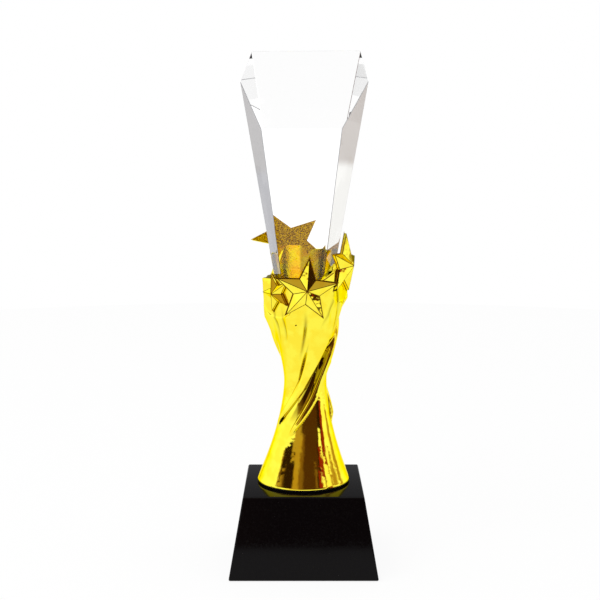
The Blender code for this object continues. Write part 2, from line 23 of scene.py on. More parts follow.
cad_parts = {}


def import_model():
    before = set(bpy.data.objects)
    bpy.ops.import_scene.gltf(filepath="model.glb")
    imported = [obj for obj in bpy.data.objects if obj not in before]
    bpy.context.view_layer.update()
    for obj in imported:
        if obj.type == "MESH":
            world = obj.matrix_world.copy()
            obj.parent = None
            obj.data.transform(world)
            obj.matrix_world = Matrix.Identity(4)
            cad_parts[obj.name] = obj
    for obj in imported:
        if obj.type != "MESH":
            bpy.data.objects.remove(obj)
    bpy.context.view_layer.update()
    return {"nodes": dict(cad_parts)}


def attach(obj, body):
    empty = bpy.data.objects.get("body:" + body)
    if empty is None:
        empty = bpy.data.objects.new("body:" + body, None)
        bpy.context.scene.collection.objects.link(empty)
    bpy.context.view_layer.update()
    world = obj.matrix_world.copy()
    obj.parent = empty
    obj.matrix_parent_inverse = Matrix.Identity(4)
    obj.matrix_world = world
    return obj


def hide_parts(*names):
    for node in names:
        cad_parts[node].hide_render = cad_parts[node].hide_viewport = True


MM = 0.001
DEG = math.radians(1.0)
BODY = "root"
SMOOTH_ANGLE = 32.0 * DEG
WELD_DISTANCE = 0.0005 * MM
# Share of shade painted on the gold: in the folds, along the ribbons' sides and in the cup but at its back
# left.
PAINTED_SHADE_SHARE = "painted_shade_share"
WHITE = "FFFFFF"
# A mix node has sockets of the same names for each type of data, so those for colours go by number.
MIX_UNDER, MIX_OVER, MIX_RESULT = 6, 7, 2
LOG = logging.getLogger("star_trophy")

Colour = tuple[float, float, float, float]
Span = tuple[float, float]


def linear(hex_colour: str) -> Colour:
    """Turns an sRGB hex colour into linear red, green, blue and alpha.

    Args:
        hex_colour: Six hex digits, such as "FFE53D".

    Returns:
        The colour as Blender's sockets take it.
    """
    parts = [int(hex_colour[place:place + 2], 16) / 255.0 for place in (0, 2, 4)]
    red, green, blue = [
        part / 12.92 if part <= 0.04045 else ((part + 0.055) / 1.055) ** 2.4 for part in parts
    ]
    return (red, green, blue, 1.0)


def set_inputs(tree: NodeTree, node: Node, values: dict[str | int, object]) -> None:
    """Sets a node's inputs.

    Args:
        tree: The node tree.
        node: One of its nodes.
        values: Values of the node's input sockets. A socket as a value is linked.
    """
    for socket, value in values.items():
        if isinstance(value, NodeSocket):
            tree.links.new(value, node.inputs[socket])
        else:
            node.inputs[socket].default_value = value


def add_node(
    tree: NodeTree,
    kind: str,
    inputs: dict[str | int, object] | None = None,
    stops: Sequence[tuple[float, Colour]] = (),
    **settings: object,
) -> Node:
    """Adds a node with its settings and links.

    Args:
        tree: The node tree.
        kind: The node's type name.
        inputs: Values or sockets for its inputs.
        stops: Places and colours of a colour ramp.
        settings: Values of the node's own properties.

    Returns:
        The new node.
    """
    node = tree.nodes.new(kind)
    for name, value in settings.items():
        setattr(node, name, value)
    set_inputs(tree, node, inputs or {})
    for index, (place, colour) in enumerate(stops):
        elements = node.color_ramp.elements
        element = elements[index] if index < len(elements) else elements.new(place)
        element.position = place
        element.color = colour
    return node


def start_material(name: str) -> tuple[Material, NodeTree, Node]:
    """Starts a material.

    Args:
        name: The material's name.

    Returns:
        The material, its node tree and its Principled shader.
    """
    material = bpy.data.materials.new(name)
    material.use_nodes = True
    tree = material.node_tree
    return material, tree, tree.nodes["Principled BSDF"]


def add_math(tree: NodeTree, operation: str, first: object, second: object) -> NodeSocket:
    """Socket of what a math node makes of two values or sockets."""
    return add_node(tree, "ShaderNodeMath", {0: first, 1: second}, operation=operation).outputs[0]


def add_ramp(tree: NodeTree, value: NodeSocket, stops: Iterable[tuple[float, str]]) -> NodeSocket:
    """Socket of a colour that runs through hex colours while a value passes their places."""
    ramp = [(place, linear(colour)) for place, colour in stops]
    return add_node(tree, "ShaderNodeValToRGB", {"Fac": value}, ramp).outputs["Color"]


def mix_colours(tree: NodeTree, share: object, under: object, over: object) -> NodeSocket:
    """Lays a colour over another.

    Args:
        tree: The node tree.
        share: How much of the upper colour shows.
        under: The lower colour.
        over: The upper colour. Each of the three is a value or a socket.

    Returns:
        The socket of the mixed colour.
    """
    inputs = {"Factor": share, MIX_UNDER: under, MIX_OVER: over}
    return add_node(tree, "ShaderNodeMix", inputs, data_type="RGBA").outputs[MIX_RESULT]


def add_range(
    tree: NodeTree, value: NodeSocket, span: Span, result: Span = (0.0, 1.0), kind: str = "LINEAR",
) -> NodeSocket:
    """Maps a value.

    Args:
        tree: The node tree.
        value: Socket of the value.
        span: Values at which the result starts to change and at which it ends.
        result: First and last result.
        kind: How it changes between them.

    Returns:
        The socket of the result.
    """
    names = ("Value", "From Min", "From Max", "To Min", "To Max")
    inputs = dict(zip(names, (value, *span, *result)))
    return add_node(tree, "ShaderNodeMapRange", inputs, interpolation_type=kind).outputs["Result"]


def add_noise(
    tree: NodeTree, sizes_mm: Sequence[float], detail: float, roughness: float = 0.5,
) -> NodeSocket:
    """Adds a noise pattern on Object coordinates, so that it keeps its real size.

    Args:
        tree: The node tree.
        sizes_mm: Width of the pattern's features, or their widths along X, Y and Z.
        detail: How many finer layers it has.
        roughness: How strong those are.

    Returns:
        The socket of the pattern's value.
    """
    place = add_node(tree, "ShaderNodeTexCoord").outputs["Object"]
    scale = 1.0 / (sizes_mm[0] * MM)
    if len(sizes_mm) > 1:
        scales = [1.0 / (size * MM) for size in sizes_mm]
        place = add_node(tree, "ShaderNodeMapping", {"Vector": place, "Scale": scales}).outputs["Vector"]
        scale = 1.0
    return add_node(tree, "ShaderNodeTexNoise", {
        "Vector": place, "Scale": scale, "Detail": detail, "Roughness": roughness}).outputs["Fac"]


def add_relief(tree: NodeTree, layers: Sequence[tuple[NodeSocket, float]]) -> NodeSocket:
    """Lifts a surface by patterns, each on top of the one before.

    Args:
        tree: The node tree.
        layers: For each pattern, the socket of its value and its height in millimetres.

    Returns:
        The socket of the surface's normal.
    """
    below = {}
    for pattern, relief_mm in layers:
        lifted = add_node(tree, "ShaderNodeBump", {
            "Height": pattern, "Strength": 1.0, "Distance": relief_mm * MM, **below})
        below = {"Normal": lifted.outputs["Normal"]}
    return below["Normal"]


def smooth_step(value: float) -> float:
    """Eased ramp from 0 to 1, held at its ends."""
    held = min(max(value, 0.0), 1.0)
    return held * held * (3.0 - 2.0 * held)


def soft_min(first: float, second: float, blend: float) -> float:
    """The smaller of two lengths, with a fillet of about the blend's size where they meet."""
    overlap = max(blend - abs(first - second), 0.0) / blend
    return min(first, second) - overlap * overlap * blend / 4.0


def soft_max(first: float, second: float, blend: float) -> float:
    """The larger of two lengths, with a fillet of about the blend's size where they meet."""
    return -soft_min(-first, -second, blend)


def angle_between(first: float, second: float) -> float:
    """Signed angle from the second direction to the first, within half a turn."""
    return (first - second + math.pi) % math.tau - math.pi


def level_of(face: BMFace) -> float:
    """Height of a face's middle."""
    return face.calc_center_median().z


def soften(mesh_data: BMesh, edges: list[BMEdge], size: float, segments: int) -> list[BMFace]:
    """Rounds edges.

    Args:
        mesh_data: The mesh.
        edges: Its edges to round.
        size: How far from each edge the rounding starts.
        segments: Rows of faces along it.

    Returns:
        The new faces.
    """
    return bmesh.ops.bevel(
        mesh_data, geom=edges, offset=size, offset_type="OFFSET", affect="EDGES",
        segments=segments, profile=0.5, material=-1)["faces"]


def finish_piece(
    name: str,
    mesh_data: BMesh,
    materials: Sequence[Material],
    nodes: Sequence[str],
    smooth: bool = True,
) -> None:
    """Makes a bmesh a piece of the trophy that stands for CAD nodes.

    Args:
        name: The piece's name.
        mesh_data: Its mesh, in place. It is freed.
        materials: Its materials, in the order of its faces' indices.
        nodes: The CAD nodes that it stands for.
        smooth: Whether its gently bent faces are shaded as one surface.
    """
    bmesh.ops.remove_doubles(mesh_data, verts=mesh_data.verts, dist=WELD_DISTANCE)
    bmesh.ops.recalc_face_normals(mesh_data, faces=mesh_data.faces)
    mesh = bpy.data.meshes.new(name)
    mesh_data.to_mesh(mesh)
    mesh_data.free()
    if smooth:
        mesh.shade_smooth()
        mesh.set_sharp_from_angle(angle=SMOOTH_ANGLE)
    for material in materials:
        mesh.materials.append(material)
    piece = bpy.data.objects.new(name, mesh)
    bpy.context.scene.collection.objects.link(piece)
    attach(piece, BODY)
    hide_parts(*nodes)
    LOG.info("%s: %d faces, stands for %s", name, len(mesh.polygons), ", ".join(nodes))


def paint_node(node: Object, material: Material) -> None:
    """Gives a CAD node its finish in every material slot.

    Args:
        node: The CAD node.
        material: Its finish.
    """
    for place in node.material_slots:
        place.material = material
    LOG.info("%s: kept from the CAD, in %s", node.name, material.name)


class GoldSide(Enum):
    """How a gold surface was left, or where shade is painted on it.

    Each gives two colours of its plating, its lowest and highest roughness, and its grain's relief in
    millimetres.
    """

    POLISHED = ("FFF248", "FEE83C", 0.03, 0.07, 0.002)
    CAST = ("FFE000", "FFBE00", 0.1, 0.22, 0.08)
    # Painted shade: the stars' backs, turned away from the light, are brown with specks of gold.
    BACK = ("7A5000", "D2A800", 0.16, 0.3, 0.1)
    # Painted shade: dark brown for the stars' softened edges and the sides of their borders.
    TONED = ("5E3A0C", "6A440E", 0.12, 0.25, 0.01)


@dataclass(frozen=True)
class PlatedGold:
    """Gold electroplate over cast resin.

    The outside was polished, so it mirrors the room, but the casting's slow waves bend what it mirrors.
    The inside of the cup was left as it came from the mould, with a fine grain. The stars' backs are
    painted brown with specks of gold, as shade on the side turned from the light. In the folds, along the
    ribbons' sides, in the cup but at its back left, and along the stars' edges, shade is painted dark
    brown.

    Attributes:
        side: How the surface was left, or the shade painted on it.
        toned: Colour of the shade painted in the folds, along the ribbons' sides and in the cup.
        rim_glint: Colour that the plating mirrors at a glancing angle.
        wave_mm: Width of the casting's waves.
        ripple_mm: Width of the polish's ripples.
        grain_mm: Width of the mould's grain.
        wave_relief_mm: Height of the waves.
        ripple_relief_mm: Height of the ripples.
        tint_span: Values of a pattern between which the plating's colours change.
        gloss_span: Values of the grain between which its gloss changes.
    """

    side: GoldSide
    toned: str = "5E3A0C"
    rim_glint: str = "FFF48C"
    wave_mm: float = 9.0
    ripple_mm: float = 2.4
    grain_mm: float = 0.9
    wave_relief_mm: float = 0.22
    ripple_relief_mm: float = 0.03
    tint_span: Span = (0.42, 0.58)
    gloss_span: Span = (0.3, 0.7)

    def make(self) -> Material:
        """Builds the material.

        Returns:
            The material, with the side in its name.
        """
        material, tree, shader = start_material(f"gold_plate_{self.side.name.lower()}")
        bright, deep, lowest, highest, relief_mm = self.side.value
        wave, ripple, grain = [
            add_noise(tree, [size], detail=2.0) for size in (self.wave_mm, self.ripple_mm, self.grain_mm)]
        spread = grain if self.side is GoldSide.BACK else wave
        tint = add_ramp(tree, spread, zip(self.tint_span, (bright, deep)))
        # Share of painted shade, read from the attribute on the body; the colour is mixed towards dark
        # brown by it.
        shade_mask = add_node(tree, "ShaderNodeAttribute", attribute_name=PAINTED_SHADE_SHARE).outputs["Fac"]
        set_inputs(tree, shader, {
            "Base Color": mix_colours(tree, shade_mask, tint, linear(self.toned)),
            "Roughness": add_range(tree, grain, self.gloss_span, (lowest, highest)),
            "Normal": add_relief(tree, (
                (wave, self.wave_relief_mm), (ripple, self.ripple_relief_mm), (grain, relief_mm))),
            "Metallic": 1.0,
            "Specular Tint": linear(self.rim_glint),
        })
        return material


@dataclass(frozen=True)
class OpticalGlass:
    """Clear optical glass, polished on its faces and ground along its corners.

    A polished face is a flat mirror, dulled by a thin coating, with a trace of the polishing felt left in
    the gloss. A ground corner is rough, and its grey tint is painted shade that draws it as a thin grey
    line.

    Attributes:
        name: Name of the real material.
        tint: Colour that passes through it.
        gloss: Lowest and highest roughness.
        felt_mm: Length of the felt's marks.
        coating: How much of its mirror image the coating leaves.
        felt_span: Values of the felt's marks between which the gloss changes.
        refraction: Its index of refraction.
    """

    name: str
    tint: str
    gloss: Span
    felt_mm: float = 3.0
    coating: str = "A0A0A0"
    felt_span: Span = (0.45, 0.8)
    refraction: float = 1.52

    def make(self) -> Material:
        """Builds the material.

        Returns:
            The material.
        """
        material, tree, shader = start_material(self.name)
        felt = add_noise(tree, [self.felt_mm], detail=4.0)
        set_inputs(tree, shader, {
            "Base Color": linear(self.tint),
            "Roughness": add_range(tree, felt, self.felt_span, self.gloss),
            "Transmission Weight": 1.0,
            "IOR": self.refraction,
            "Specular Tint": linear(self.coating),
        })
        return material


POLISHED_GLASS = OpticalGlass("polished_optical_glass", WHITE, (0.0, 0.012))
# The ground corners' grey tint is painted shade, which draws them as thin dark lines.
GROUND_SHADED_GLASS = OpticalGlass("ground_glass_painted_shade", "6E6E72", (0.25, 0.4))


@dataclass(frozen=True)
class GlossBlackPlastic:
    """Black polystyrene, moulded in a polished tool.

    It is a deep gloss with the faint unevenness of a moulding and a little dust.

    Attributes:
        ink: Colour of the plastic.
        dust: Colour of the dust on it.
        ripple_mm: Width of the moulding's ripples.
        dust_mm: Width of a patch of dust.
        ripple_relief_mm: Height of the ripples.
        tint_span: Values of the dust's pattern between which the colours change.
        gloss_span: Values of it between which the gloss changes.
        gloss: Lowest and highest roughness.
        refraction: The plastic's index of refraction.
        mirror_level: Strength of its mirror image.
    """

    ink: str = "070506"
    dust: str = "0F0D0E"
    ripple_mm: float = 14.0
    dust_mm: float = 1.6
    ripple_relief_mm: float = 0.03
    tint_span: Span = (0.5, 0.8)
    gloss_span: Span = (0.35, 0.75)
    gloss: Span = (0.06, 0.16)
    refraction: float = 1.5
    mirror_level: float = 0.1

    def make(self) -> Material:
        """Builds the material.

        Returns:
            The material.
        """
        material, tree, shader = start_material("moulded_black_polystyrene")
        ripple = add_noise(tree, [self.ripple_mm], detail=1.0)
        specks = add_noise(tree, [self.dust_mm], detail=6.0, roughness=0.7)
        set_inputs(tree, shader, {
            "Base Color": add_ramp(tree, specks, zip(self.tint_span, (self.ink, self.dust))),
            "Roughness": add_range(tree, specks, self.gloss_span, self.gloss),
            "Normal": add_relief(tree, [(ripple, self.ripple_relief_mm)]),
            "IOR": self.refraction,
            "Specular IOR Level": self.mirror_level,
        })
        return material


@dataclass(frozen=True)
class GrainedFinish:
    """A plain shop material of the pieces inside the base: board, steel, brass or rubber.

    Two colours mix by a grain, which also breaks the gloss and lifts the surface.

    Attributes:
        name: Name of the real material.
        light: Colour of the grain's tops.
        dark: Colour of the grain's hollows.
        grain_mm: Width of the grain along X, Y and Z.
        relief_mm: Height of the grain.
        gloss: Lowest and highest roughness.
        metallic: 1 for a metal.
        tint_span: Values of the grain between which the colours change.
        gloss_span: Values of it between which the gloss changes.
    """

    name: str
    light: str
    dark: str
    grain_mm: tuple[float, float, float]
    relief_mm: float
    gloss: Span
    metallic: float = 0.0
    tint_span: Span = (0.35, 0.65)
    gloss_span: Span = (0.3, 0.7)

    def make(self) -> Material:
        """Builds the material.

        Returns:
            The material.
        """
        material, tree, shader = start_material(self.name)
        grain = add_noise(tree, self.grain_mm, detail=5.0, roughness=0.65)
        set_inputs(tree, shader, {
            "Base Color": add_ramp(tree, grain, zip(self.tint_span, (self.dark, self.light))),
            "Roughness": add_range(tree, grain, self.gloss_span, self.gloss),
            "Normal": add_relief(tree, [(grain, self.relief_mm)]),
            "Metallic": self.metallic,
        })
        return material


# Sawn board is matt brown with short fibres, zinc plate is a bluish grey sheen with a fine drawn grain,
# turned brass is yellow with a grain round the bar, and sheet rubber is dull black with a fine pebble.
BOARD = GrainedFinish("sawn_fibreboard", "4A3626", "2E2118", (1.2, 1.2, 4.0), 0.08, (0.7, 0.9))
ZINC = GrainedFinish("zinc_plated_steel", "C9CCCE", "A9ADB2", (0.5, 0.5, 5.0), 0.01, (0.25, 0.42), 1.0)
BRASS = GrainedFinish("turned_brass", "DCBB6A", "C49E4C", (4.0, 4.0, 0.4), 0.01, (0.2, 0.35), 1.0)
RUBBER = GrainedFinish("sheet_rubber", "1C1C1C", "121212", (0.6, 0.6, 0.6), 0.04, (0.7, 0.9))


@dataclass(frozen=True)
class StarPlace:
    """Where a star sits on the cup, and how large it is.

    Attributes:
        name: Name of its piece.
        node: The CAD node that it stands for.
        angle: Direction from the axis.
        rise: Height of its middle over the body's foot.
        radius: Distance from its middle to a tip.
        roll: Turn about its own axis.
        rim_over: Height of the rim over its middle.
        lean: How far it leans outwards.
        stand_off: How far its tab stands out of the cup's wall.
        tab_drop: How far its tab goes down below its middle.
        crown: Height of its middle over its edge.
    """

    name: str
    node: str
    angle: float
    rise: float
    radius: float
    roll: float
    rim_over: float
    lean: float = 2.0 * DEG
    stand_off: float = 0.6 * MM
    tab_drop: float = 17.0 * MM
    crown: float = 4.2 * MM


@dataclass(frozen=True)
class Ribbon:
    """A raised band that winds up the body.

    Attributes:
        lane: Direction at the rim that it winds to.
        half_width: Half its width at half height.
        tip: Share of the body's height at its tip.
        relief: Its height over the body.
        opening: How far its left side opens over the whole height, from half height up.
    """

    lane: float
    half_width: float
    tip: float
    relief: float
    opening: float = 0.0


@dataclass(frozen=True)
class Fold:
    """A fold sunk between two ribbons.

    Attributes:
        lane: Direction at the rim that it would wind to from half height.
        half_width: Half its width at half height.
        low: Share of the body's height at its lower end.
        high: Share at its upper end.
        depth: Share of the full depth.
        drift: How far it turns against the ribbons over the whole height.
        spread: How far its half width grows over the whole height.
        toned: How much shade is painted in it.
    """

    lane: float
    half_width: float
    low: float
    high: float
    depth: float = 1.0
    drift: float = 0.0
    spread: float = 0.0
    toned: float = 0.75


STARS = (
    StarPlace("left_star", "star_left", -136.0 * DEG, 132.5 * MM, 13.0 * MM, 18.0 * DEG, 9.0 * MM),
    StarPlace("front_star", "star_front", -85.5 * DEG, 135.2 * MM, 21.2 * MM, -5.0 * DEG, 6.0 * MM),
    StarPlace("right_star", "star_right", -22.0 * DEG, 151.0 * MM, 21.5 * MM, -4.5 * DEG, 3.0 * MM,
              tab_drop=24.0 * MM, crown=7.0 * MM),
    StarPlace("back_right_star", "star_back_right", 66.0 * DEG, 153.0 * MM, 12.0 * MM, 20.0 * DEG,
              10.0 * MM),
    StarPlace("back_star", "star_back", 102.5 * DEG, 168.5 * MM, 28.5 * MM, -25.0 * DEG, -2.5 * MM,
              lean=33.0 * DEG, stand_off=11.0 * MM),
)

RIBBONS = (
    Ribbon(-156.0 * DEG, 18.0 * DEG, 0.3, 2.6 * MM),
    Ribbon(-8.0 * DEG, 14.0 * DEG, 0.24, 2.6 * MM, 140.0 * DEG),
    Ribbon(40.0 * DEG, 13.0 * DEG, 0.22, 2.6 * MM),
    Ribbon(88.0 * DEG, 18.0 * DEG, 0.5, 2.6 * MM),
    Ribbon(142.0 * DEG, 20.0 * DEG, 0.26, 2.6 * MM),
)

# Each fold has shade painted in it, at 0.75 of the dark brown unless another share is given.
FOLDS = (
    Fold(16.6 * DEG, 11.6 * DEG, 0.26, 0.68, drift=6.0 * DEG, spread=6.0 * DEG),
    Fold(31.0 * DEG, 5.5 * DEG, 0.56, 0.95, depth=0.6, drift=-167.0 * DEG, toned=0.85),
    Fold(-38.0 * DEG, 4.5 * DEG, 0.74, 0.94, depth=0.35, drift=-22.0 * DEG),
    Fold(-84.0 * DEG, 4.5 * DEG, 0.66, 0.9, depth=0.3, drift=-162.0 * DEG, toned=0.7),
    Fold(-65.5 * DEG, 4.5 * DEG, 0.66, 0.88, depth=0.3, drift=-162.0 * DEG, toned=0.7),
    Fold(-22.0 * DEG, 5.0 * DEG, 0.42, 0.66, depth=0.7, drift=-139.0 * DEG),
    Fold(-31.0 * DEG, 5.0 * DEG, 0.58, 0.86, depth=0.15, drift=-150.0 * DEG),
    Fold(114.0 * DEG, 9.0 * DEG, 0.3, 0.8),
)


@dataclass
class CrystalColumn:
    """The six-sided crystal, which widens upwards to a sloped cut.

    Its section is given in shares of its half width, which grows with the height.
    """

    bottom: float = 175.8 * MM
    height: float = 179.0 * MM
    foot_half_width: float = 16.4 * MM
    flare: float = 0.176
    front_share: float = 0.7
    back_share: float = 0.8
    depth_share: float = 0.72
    widest_share: float = 0.2
    cut_slope: float = 0.92
    turn: float = -3.0 * DEG
    spare: float = 10.0 * MM
    edge: float = 0.35 * MM
    edge_segments: int = 2
    sides: int = 6
    ground_depth_share: float = 0.35
    ground_rise: float = 0.3

    def half_width(self, height: float) -> float:
        """Distance from the axis to the side edges at this height."""
        return self.foot_half_width + self.flare * (height - self.bottom)

    def corner(self, number: int, height: float) -> Vector:
        """A corner of the section at a height.

        Args:
            number: Counted leftwards from the corner at the back right.
            height: Height over the floor.

        Returns:
            The corner's place across and along.
        """
        across, along = (
            (self.back_share, self.depth_share), (-self.back_share, self.depth_share),
            (-1.0, self.widest_share), (-self.front_share, -self.depth_share),
            (self.front_share, -self.depth_share), (1.0, self.widest_share),
        )[number]
        return Vector((across, along)) * self.half_width(height)

    def build(self) -> BMesh:
        """Cuts the column and rounds its edges a little.

        Returns:
            The mesh, in place. The front corners have material index 1.
        """
        tip = self.bottom + self.height
        top = tip + self.spare
        mesh_data = bmesh.new()
        bmesh.ops.create_cone(
            mesh_data, cap_ends=True, segments=self.sides, radius1=1.0, radius2=1.0,
            depth=top - self.bottom, matrix=Matrix.Translation((0.0, 0.0, (self.bottom + top) / 2.0)))
        for point in mesh_data.verts:
            from_back = math.atan2(point.co.y, point.co.x) - math.pi / 2.0
            number = round(from_back * self.sides / math.tau) % self.sides
            point.co.xy = self.corner(number, point.co.z)
        turned = Matrix.Rotation(self.turn, 3, "Z")
        bmesh.ops.rotate(mesh_data, verts=mesh_data.verts, matrix=turned)
        back = turned @ Vector((0.0, 1.0, 0.0))
        bmesh.ops.bisect_plane(
            mesh_data, geom=mesh_data.verts[:] + mesh_data.edges[:] + mesh_data.faces[:],
            plane_co=back * self.depth_share * self.half_width(tip) + Vector((0.0, 0.0, tip)),
            plane_no=Vector((0.0, 0.0, 1.0)) - self.cut_slope * back, clear_outer=True)
        bmesh.ops.holes_fill(mesh_data, edges=mesh_data.edges, sides=0)
        for face in soften(mesh_data, mesh_data.edges[:], self.edge, self.edge_segments):
            middle = face.calc_center_median()
            longest = max(face.edges, key=lambda side: side.calc_length())
            along = (longest.verts[1].co - longest.verts[0].co).normalized()
            behind = middle.dot(back) > self.ground_depth_share * self.half_width(middle.z)
            face.material_index = int(abs(along.z) > self.ground_rise and not behind)
        return mesh_data

    def dress(self) -> None:
        """Builds the crystal in its glass, polished on its faces and ground along its front corners, with
        shade painted grey on those.
        """
        glass = [POLISHED_GLASS.make(), GROUND_SHADED_GLASS.make()]
        finish_piece("crystal", self.build(), glass, ["crystal_column"], smooth=False)


class Spot(NamedTuple):
    """A point of the body: its radius, direction, height, and how much shade is painted on it."""

    radius: float
    angle: float
    height: float
    toned: float = 0.0


@dataclass
class TrophyBody:
    """The gold body: a flared foot, a twisted waist with ribbons, and a cup whose rim follows the stars."""

    crystal: CrystalColumn
    bottom: float = 56.8 * MM
    height: float = 148.5 * MM
    foot_radius: float = 32.2 * MM
    foot_edge: float = 1.2 * MM
    foot_curve: float = 1.7
    heel_flare: float = 0.08 * MM
    heel_round: float = 0.5 * MM
    heel_shares: tuple[float, ...] = (0.2, 0.8, 1.0)
    waist_radius: float = 14.8 * MM
    waist_at: float = 0.475
    cup_curve: float = 0.85
    sway: float = 1.2 * MM
    cup_depth: float = 31.5 * MM
    cup_clearance: float = 1.15 * MM
    rim_wall: float = 2.8 * MM
    rim_edge: float = 1.0 * MM
    rim_low: float = 142.0 * MM
    rim_bump_span: float = 45.0 * DEG
    rim_flatness: float = 1.2
    rim_follow_power: int = 3
    twist: float = 165.0 * DEG
    twist_start: float = 0.05
    twist_end: float = 0.95
    half_height: float = 0.5
    ribbon_taper: float = 0.2
    ribbon_curl: float = 12.0 * DEG
    ribbon_rise_rate: float = 3.0
    ribbon_crown_power: int = 4
    ribbon_line: float = 2.0 * DEG
    fold_floor: float = 11.5 * MM
    fold_narrowest_at: float = 0.72
    fold_curve: float = 2.1
    fold_fade: float = 0.12
    fold_flank: float = 6.0 * DEG
    # Strength of the shade painted inside the cup, the direction at the back left where it stops, and its
    # fade.
    cup_shade: float = 0.55
    cup_shade_from: float = 96.0 * DEG
    cup_shade_fade: float = 5.0 * DEG
    # Strength of the painted shade lines along the ribbons, and the share of the height where they end;
    # ribbon_line gives their width.
    ribbon_shade_strength: float = 0.8
    ribbon_shade_end: float = 0.7
    flat_margin: float = 3.5 * MM
    flat_fade: float = 1.5
    flat_reach: float = 60.0 * DEG
    tab_half_width: float = 14.5 * MM
    tab_side_fade: float = 1.5
    tab_lower_fade: float = 0.6
    fillet: float = 1.2 * MM
    tab_fillet: float = 3.0 * MM
    seat_gap: float = 0.3 * MM
    bore_radius: float = 6.8 * MM
    bore_height: float = 30.6 * MM
    steps: int = 384
    skin_rows: int = 220
    smoothing: float = 0.5
    cup_rows: int = 16
    edge_rows: int = 5

    @property
    def rim_middle(self) -> float:
        """Height of the rim where it is level."""
        return self.bottom + self.height

    @property
    def cup_floor(self) -> float:
        """Height of the cup's floor."""
        return self.rim_middle - self.cup_depth

    def cup_radius(self, height: float) -> float:
        """Radius of the inside of the cup, clear of the crystal's corners.

        Args:
            height: Height over the floor.

        Returns:
            The radius there.
        """
        crystal = self.crystal
        corner = math.hypot(max(crystal.front_share, crystal.back_share), crystal.depth_share)
        return corner * crystal.half_width(height) + self.cup_clearance

    def rim_height(self, angle: float) -> float:
        """Height of the cup's rim, which is level, and raised behind the higher stars.

        Args:
            angle: Direction from the axis.

        Returns:
            The height over the floor.
        """
        raised = 0.0
        for star in STARS:
            near = 1.0 - abs(angle_between(angle, star.angle)) / self.rim_bump_span
            shown = smooth_step(self.rim_flatness * near)
            raised = max(raised, (star.rise + star.rim_over - self.rim_low) * shown)
        return self.bottom + self.rim_low + raised

    def twist_at(self, share: float) -> float:
        """How far a ribbon has turned at this share of the height, counted back from the rim."""
        wound = smooth_step((share - self.twist_start) / (self.twist_end - self.twist_start))
        return self.twist * (wound - 1.0)

    def plain_radius(self, share: float) -> float:
        """Radius of the outside without ribbons, folds and stars.

        Args:
            share: Share of the height from foot to rim.

        Returns:
            The radius there.
        """
        if share < self.waist_at:
            flare = (1.0 - share / self.waist_at) ** self.foot_curve
            return self.waist_radius + (self.foot_radius - self.waist_radius) * flare
        rise = ((share - self.waist_at) / (1.0 - self.waist_at)) ** self.cup_curve
        rim_radius = self.cup_radius(self.rim_middle) + self.rim_wall
        return self.waist_radius + (rim_radius - self.waist_radius) * smooth_step(rise)

    def ribbon_relief(self, lane: float, share: float) -> tuple[float, float]:
        """Height of the ribbons above the plain body, and how much shade is painted along their sides.

        Args:
            lane: Direction with the twist taken out.
            share: Share of the height from foot to rim.

        Returns:
            The relief of the highest ribbon there, and the share of painted shade along the ribbons' sides.
        """
        relief = 0.0
        toned = 0.0
        for ribbon in RIBBONS:
            grown = min(max((share - ribbon.tip) / self.ribbon_taper, 0.0), 1.0)
            opened = ribbon.opening * max(share - self.half_height, 0.0) / 2.0
            half_width = ribbon.half_width * math.sqrt(grown) + opened
            middle = ribbon.lane - opened - self.ribbon_curl * (1.0 - grown)
            across = abs(angle_between(lane, middle))
            # A thin line of painted shade runs along each side of a ribbon.
            line = 1.0 - abs(across - half_width) / self.ribbon_line
            toned = max(toned, smooth_step(line) * smooth_step(self.ribbon_rise_rate * grown))
            if across < half_width:
                crown = 1.0 - (across / half_width) ** self.ribbon_crown_power
                relief = max(relief, ribbon.relief * crown * smooth_step(self.ribbon_rise_rate * grown))
        return relief, toned

    def fold_depth(self, lane: float, share: float) -> tuple[float, float]:
        """Depth of the folds between ribbons, whose floor narrows upwards past the waist.

        Args:
            lane: Direction with the twist taken out.
            share: Share of the height from foot to rim.

        Returns:
            The depth below the plain body, and the share of shade painted in the fold.
        """
        left = max(1.0 - share / self.fold_narrowest_at, 0.0)
        floor = self.fold_floor + (self.foot_radius - self.fold_floor) * left ** self.fold_curve
        full = max(self.plain_radius(share) - floor, 0.0)
        depth = 0.0
        toned = 0.0
        for fold in FOLDS:
            from_middle = share - self.half_height
            across = abs(angle_between(lane, fold.lane + fold.drift * from_middle))
            inside = fold.half_width + fold.spread * from_middle - across
            shown = smooth_step(inside / self.fold_flank)
            shown *= smooth_step((fold.high - share) / self.fold_fade)
            shown *= smooth_step((share - fold.low) / self.fold_fade)
            depth = max(depth, fold.depth * full * shown)
            # The painted shade follows the fold's shape.
            toned = max(toned, fold.toned * shown)
        return depth, toned

    def seat_radius(self, star: StarPlace) -> float:
        """Distance from the axis to the middle of a star's back."""
        return self.cup_radius(self.bottom + star.rise) + self.rim_wall + star.stand_off

    def sway_at(self, share: float) -> float:
        """How far the axis stands to the right at this share of the height."""
        return self.sway * math.sin(math.pi * share)

